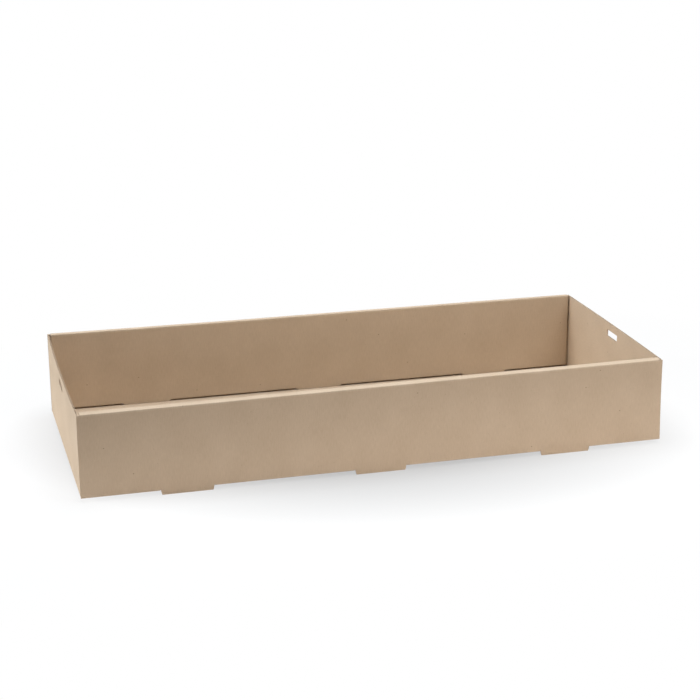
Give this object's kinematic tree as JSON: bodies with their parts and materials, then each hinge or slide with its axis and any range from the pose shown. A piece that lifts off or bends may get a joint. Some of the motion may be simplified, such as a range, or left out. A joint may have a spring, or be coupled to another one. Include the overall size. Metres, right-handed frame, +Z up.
{
  "type": "cardboard tray box",
  "caption": "Long, low, open tray folded from one sheet of kraft corrugated board, with rolled double long walls, lock-tab feet and a lid slot in each end wall.",
  "frame": {"origin": "on the ground under the middle of the tray, level with the tips of its feet", "axes": "+X along the tray's length, +Y across it towards the back long wall, +Z up out of the open top"},
  "size_m": [0.558, 0.252, 0.0839],
  "materials": {
    "kraft_board": "matte natural kraft"
  },
  "bodies": {
    "root": {"tray": "kraft_board"}
  },
  "joints": []
}
